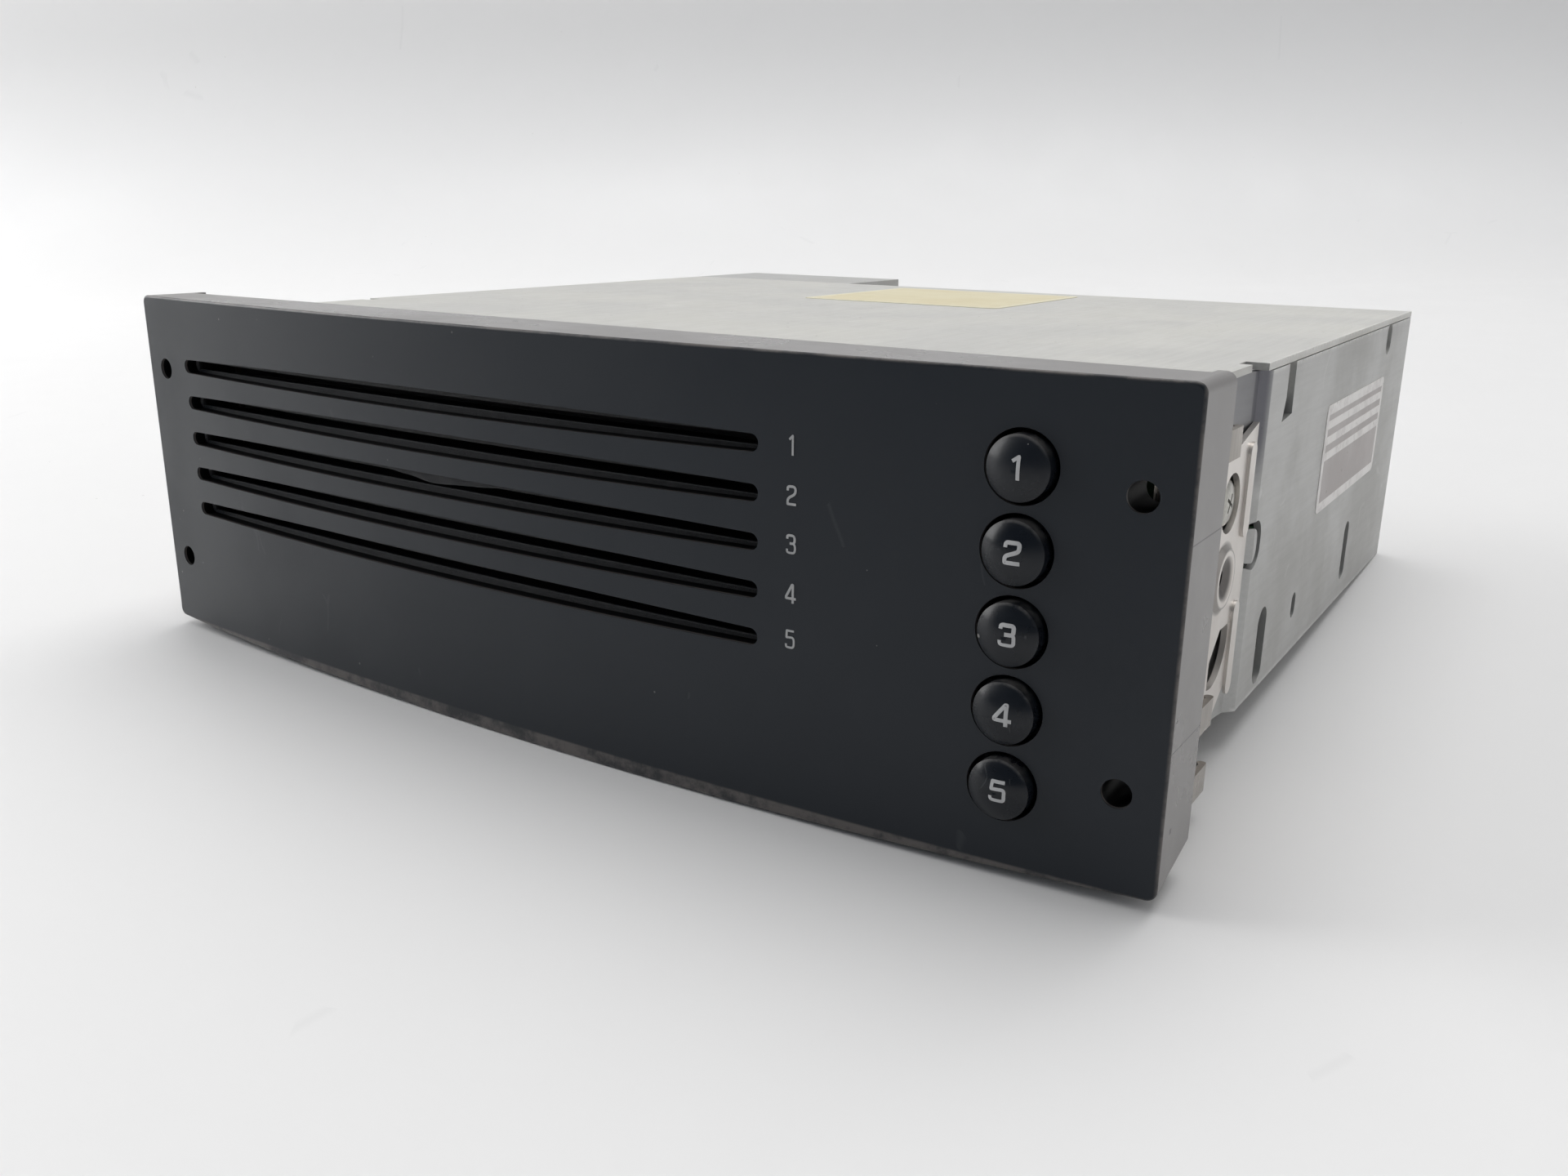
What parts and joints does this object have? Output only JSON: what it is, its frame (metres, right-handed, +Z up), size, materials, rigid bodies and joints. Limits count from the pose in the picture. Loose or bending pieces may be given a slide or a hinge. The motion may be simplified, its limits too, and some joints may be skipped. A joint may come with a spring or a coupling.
{
  "type": "car disc changer",
  "caption": "Slot-loading disc changer for a car dashboard: bowed front panel with disc slots, push buttons and release-key holes on a sheet-metal chassis.",
  "frame": {"origin": "centre of the four release-key holes, in the plane of the front panel's two ends", "axes": "+X to the right seen from the front, +Y into the dashboard, +Z up"},
  "size_m": [0.188, 0.1885, 0.0612],
  "materials": {
    "panel_plastic": "black moulded plastic with a fine satin grain",
    "button_plastic": "black moulded caps, polished by use",
    "felt": "black felt",
    "inner_plastic": "dark moulded plastic",
    "zinc_sheet": "zinc-coated sheet steel with a dull sheen",
    "cover_sheet": "zinc-coated sheet steel with a dull sheen",
    "bright_sheet": "bright spring sheet",
    "nickel_sheet": "nickel-plated sheet with a soft sheen",
    "screw_steel": "zinc-plated screws",
    "stud_steel": "zinc-plated stud and nut",
    "socket_plastic": "black socket moulding",
    "contact_metal": "tinned brass contacts",
    "board_green": "circuit board with green lacquer",
    "chip_black": "moulded chips, sleeves and pillars",
    "mat_rubber": "moulded keypad rubber",
    "frame_plastic": "dark filled plastic",
    "strip_plastic": "slippery white strip",
    "roller_rubber": "rubber sleeve on a steel shaft",
    "gear_plastic": "natural moulded gear plastic",
    "pin_steel": "ground steel pins",
    "motor_steel": "motor can",
    "tray_plastic": "dark grey moulded tray",
    "plated_sheet": "zinc-coated inner sheet",
    "damper_rubber": "soft damper rubber",
    "sled_plastic": "black moulded pickup body",
    "lens_glass": "coated pickup lens in its ring"
  },
  "bodies": {
    "chassis": {"front_panel": "panel_plastic", "keypad_mat": "mat_rubber", "switch_board": "board_green", "dust_curtain": "felt", "slot_shroud": "inner_plastic", "front_frame": "bright_sheet", "chassis_tray": "zinc_sheet", "top_cover": "cover_sheet", "side_plate_right": "nickel_sheet", "side_plate_left": "nickel_sheet", "screws": "screw_steel", "rear_panel": "zinc_sheet", "rear_stud": "stud_steel", "rear_box": "zinc_sheet", "rear_connector": "socket_plastic", "connector_contacts": "contact_metal", "feed_frame": "frame_plastic", "guide_strips": "strip_plastic", "gear_pins": "pin_steel", "feed_motor": "motor_steel", "motor_brackets": "plated_sheet", "guide_posts": "pin_steel", "cam_rail": "frame_plastic", "cam_motor": "motor_steel", "deck_plate": "plated_sheet", "deck_dampers": "damper_rubber", "deck_posts": "pin_steel", "spindle_motor": "motor_steel", "guide_rods": "pin_steel", "sled_motor": "motor_steel", "main_board": "board_green", "board_parts": "chip_black", "socket_board": "board_green"},
    "button_1": {"button_1": "button_plastic"},
    "button_2": {"button_2": "button_plastic"},
    "button_3": {"button_3": "button_plastic"},
    "button_4": {"button_4": "button_plastic"},
    "button_5": {"button_5": "button_plastic"},
    "feed_roller_1": {"feed_roller_1": "roller_rubber"},
    "feed_roller_2": {"feed_roller_2": "roller_rubber"},
    "feed_roller_3": {"feed_roller_3": "roller_rubber"},
    "feed_roller_4": {"feed_roller_4": "roller_rubber"},
    "feed_roller_5": {"feed_roller_5": "roller_rubber"},
    "idler_gear_1": {"idler_gear_1": "gear_plastic"},
    "idler_gear_2": {"idler_gear_2": "gear_plastic"},
    "idler_gear_3": {"idler_gear_3": "gear_plastic"},
    "idler_gear_4": {"idler_gear_4": "gear_plastic"},
    "reduction_gear": {"reduction_gear": "gear_plastic"},
    "motor_pinion": {"motor_pinion": "gear_plastic"},
    "cam_plate": {"cam_plate": "frame_plastic"},
    "cam_screw": {"cam_screw": "pin_steel"},
    "disc_tray_1": {"disc_tray_1": "tray_plastic"},
    "disc_tray_2": {"disc_tray_2": "tray_plastic"},
    "disc_tray_3": {"disc_tray_3": "tray_plastic"},
    "disc_tray_4": {"disc_tray_4": "tray_plastic"},
    "disc_tray_5": {"disc_tray_5": "tray_plastic"},
    "turntable": {"turntable": "frame_plastic"},
    "pickup": {"pickup_sled": "sled_plastic", "pickup_lens": "lens_glass"},
    "sled_screw": {"sled_screw": "pin_steel"}
  },
  "joints": [
    {"name": "button_1_press", "type": "slide", "parent": "chassis", "child": "button_1", "axis": [0, 1, 0], "range_m": [0, 0.0008], "stiffness_N_per_m": 300, "springref_m": -0.001},
    {"name": "button_2_press", "type": "slide", "parent": "chassis", "child": "button_2", "axis": [0, 1, 0], "range_m": [0, 0.0008], "stiffness_N_per_m": 300, "springref_m": -0.001},
    {"name": "button_3_press", "type": "slide", "parent": "chassis", "child": "button_3", "axis": [0, 1, 0], "range_m": [0, 0.0008], "stiffness_N_per_m": 300, "springref_m": -0.001},
    {"name": "button_4_press", "type": "slide", "parent": "chassis", "child": "button_4", "axis": [0, 1, 0], "range_m": [0, 0.0008], "stiffness_N_per_m": 300, "springref_m": -0.001},
    {"name": "button_5_press", "type": "slide", "parent": "chassis", "child": "button_5", "axis": [0, 1, 0], "range_m": [0, 0.0008], "stiffness_N_per_m": 300, "springref_m": -0.001},
    {"name": "feed_roller_1_turn", "type": "hinge", "parent": "chassis", "child": "feed_roller_1", "pos_m": [-0.0205, 0.02, 0.01535], "axis": [1, 0, 0], "continuous": true},
    {"name": "feed_roller_2_turn", "type": "hinge", "parent": "chassis", "child": "feed_roller_2", "pos_m": [-0.0205, 0.02, 0.00905], "axis": [1, 0, 0], "continuous": true},
    {"name": "feed_roller_3_turn", "type": "hinge", "parent": "chassis", "child": "feed_roller_3", "pos_m": [-0.0205, 0.02, 0.00275], "axis": [1, 0, 0], "continuous": true},
    {"name": "feed_roller_4_turn", "type": "hinge", "parent": "chassis", "child": "feed_roller_4", "pos_m": [-0.0205, 0.02, -0.00355], "axis": [1, 0, 0], "continuous": true},
    {"name": "feed_roller_5_turn", "type": "hinge", "parent": "chassis", "child": "feed_roller_5", "pos_m": [-0.0205, 0.02, -0.00985], "axis": [1, 0, 0], "continuous": true},
    {"name": "idler_gear_1_turn", "type": "hinge", "parent": "chassis", "child": "idler_gear_1", "pos_m": [0.0451, 0.02315, 0.0122], "axis": [1, 0, 0], "continuous": true},
    {"name": "idler_gear_2_turn", "type": "hinge", "parent": "chassis", "child": "idler_gear_2", "pos_m": [0.0451, 0.02315, 0.0059], "axis": [1, 0, 0], "continuous": true},
    {"name": "idler_gear_3_turn", "type": "hinge", "parent": "chassis", "child": "idler_gear_3", "pos_m": [0.0451, 0.02315, -0.0004], "axis": [1, 0, 0], "continuous": true},
    {"name": "idler_gear_4_turn", "type": "hinge", "parent": "chassis", "child": "idler_gear_4", "pos_m": [0.0451, 0.02315, -0.0067], "axis": [1, 0, 0], "continuous": true},
    {"name": "reduction_gear_turn", "type": "hinge", "parent": "chassis", "child": "reduction_gear", "pos_m": [0.046, 0.02315, -0.013], "axis": [1, 0, 0], "continuous": true},
    {"name": "motor_pinion_turn", "type": "hinge", "parent": "chassis", "child": "motor_pinion", "pos_m": [0.0477, 0.02983, -0.013], "axis": [1, 0, 0], "continuous": true},
    {"name": "cam_plate_slide", "type": "slide", "parent": "chassis", "child": "cam_plate", "axis": [0, 1, 0], "range_m": [0, 0.012]},
    {"name": "cam_screw_turn", "type": "hinge", "parent": "chassis", "child": "cam_screw", "pos_m": [0.0532, 0.0765, -0.01205], "axis": [0, 1, 0], "range_deg": [0, 2160]},
    {"name": "disc_tray_1_lift", "type": "slide", "parent": "chassis", "child": "disc_tray_1", "axis": [0, 0, 1], "range_m": [0, 0.003]},
    {"name": "disc_tray_2_lift", "type": "slide", "parent": "chassis", "child": "disc_tray_2", "axis": [0, 0, 1], "range_m": [0, 0.003]},
    {"name": "disc_tray_3_lift", "type": "slide", "parent": "chassis", "child": "disc_tray_3", "axis": [0, 0, 1], "range_m": [0, 0.003]},
    {"name": "disc_tray_4_lift", "type": "slide", "parent": "chassis", "child": "disc_tray_4", "axis": [0, 0, 1], "range_m": [0, 0.003]},
    {"name": "disc_tray_5_lower", "type": "slide", "parent": "chassis", "child": "disc_tray_5", "axis": [0, 0, 1], "range_m": [-0.004, 0]},
    {"name": "turntable_turn", "type": "hinge", "parent": "chassis", "child": "turntable", "pos_m": [-0.0205, 0.092, -0.01305], "axis": [0, 0, 1], "continuous": true},
    {"name": "pickup_slide", "type": "slide", "parent": "chassis", "child": "pickup", "axis": [-1, 0, 0], "range_m": [0, 0.034]},
    {"name": "sled_screw_turn", "type": "hinge", "parent": "chassis", "child": "sled_screw", "pos_m": [-0.054, 0.117, -0.01745], "axis": [1, 0, 0], "range_deg": [0, 6120]}
  ],
  "couplings": [
    {"joint": "feed_roller_2_turn", "follows": "feed_roller_1_turn", "ratio": 1},
    {"joint": "feed_roller_3_turn", "follows": "feed_roller_1_turn", "ratio": 1},
    {"joint": "feed_roller_4_turn", "follows": "feed_roller_1_turn", "ratio": 1},
    {"joint": "feed_roller_5_turn", "follows": "feed_roller_1_turn", "ratio": 1},
    {"joint": "idler_gear_1_turn", "follows": "feed_roller_1_turn", "ratio": -1},
    {"joint": "idler_gear_2_turn", "follows": "feed_roller_1_turn", "ratio": -1},
    {"joint": "idler_gear_3_turn", "follows": "feed_roller_1_turn", "ratio": -1},
    {"joint": "idler_gear_4_turn", "follows": "feed_roller_1_turn", "ratio": -1},
    {"joint": "reduction_gear_turn", "follows": "feed_roller_1_turn", "ratio": -1},
    {"joint": "motor_pinion_turn", "follows": "feed_roller_1_turn", "ratio": 2},
    {"joint": "cam_screw_turn", "follows": "cam_plate_slide", "rad_per_m": 3141.6},
    {"joint": "disc_tray_1_lift", "follows": "cam_plate_slide", "ratio": 0.25},
    {"joint": "disc_tray_2_lift", "follows": "cam_plate_slide", "ratio": 0.25},
    {"joint": "disc_tray_3_lift", "follows": "cam_plate_slide", "ratio": 0.25},
    {"joint": "disc_tray_4_lift", "follows": "cam_plate_slide", "ratio": 0.25},
    {"joint": "disc_tray_5_lower", "follows": "cam_plate_slide", "ratio": -0.33333},
    {"joint": "sled_screw_turn", "follows": "pickup_slide", "rad_per_m": 3141.6}
  ]
}
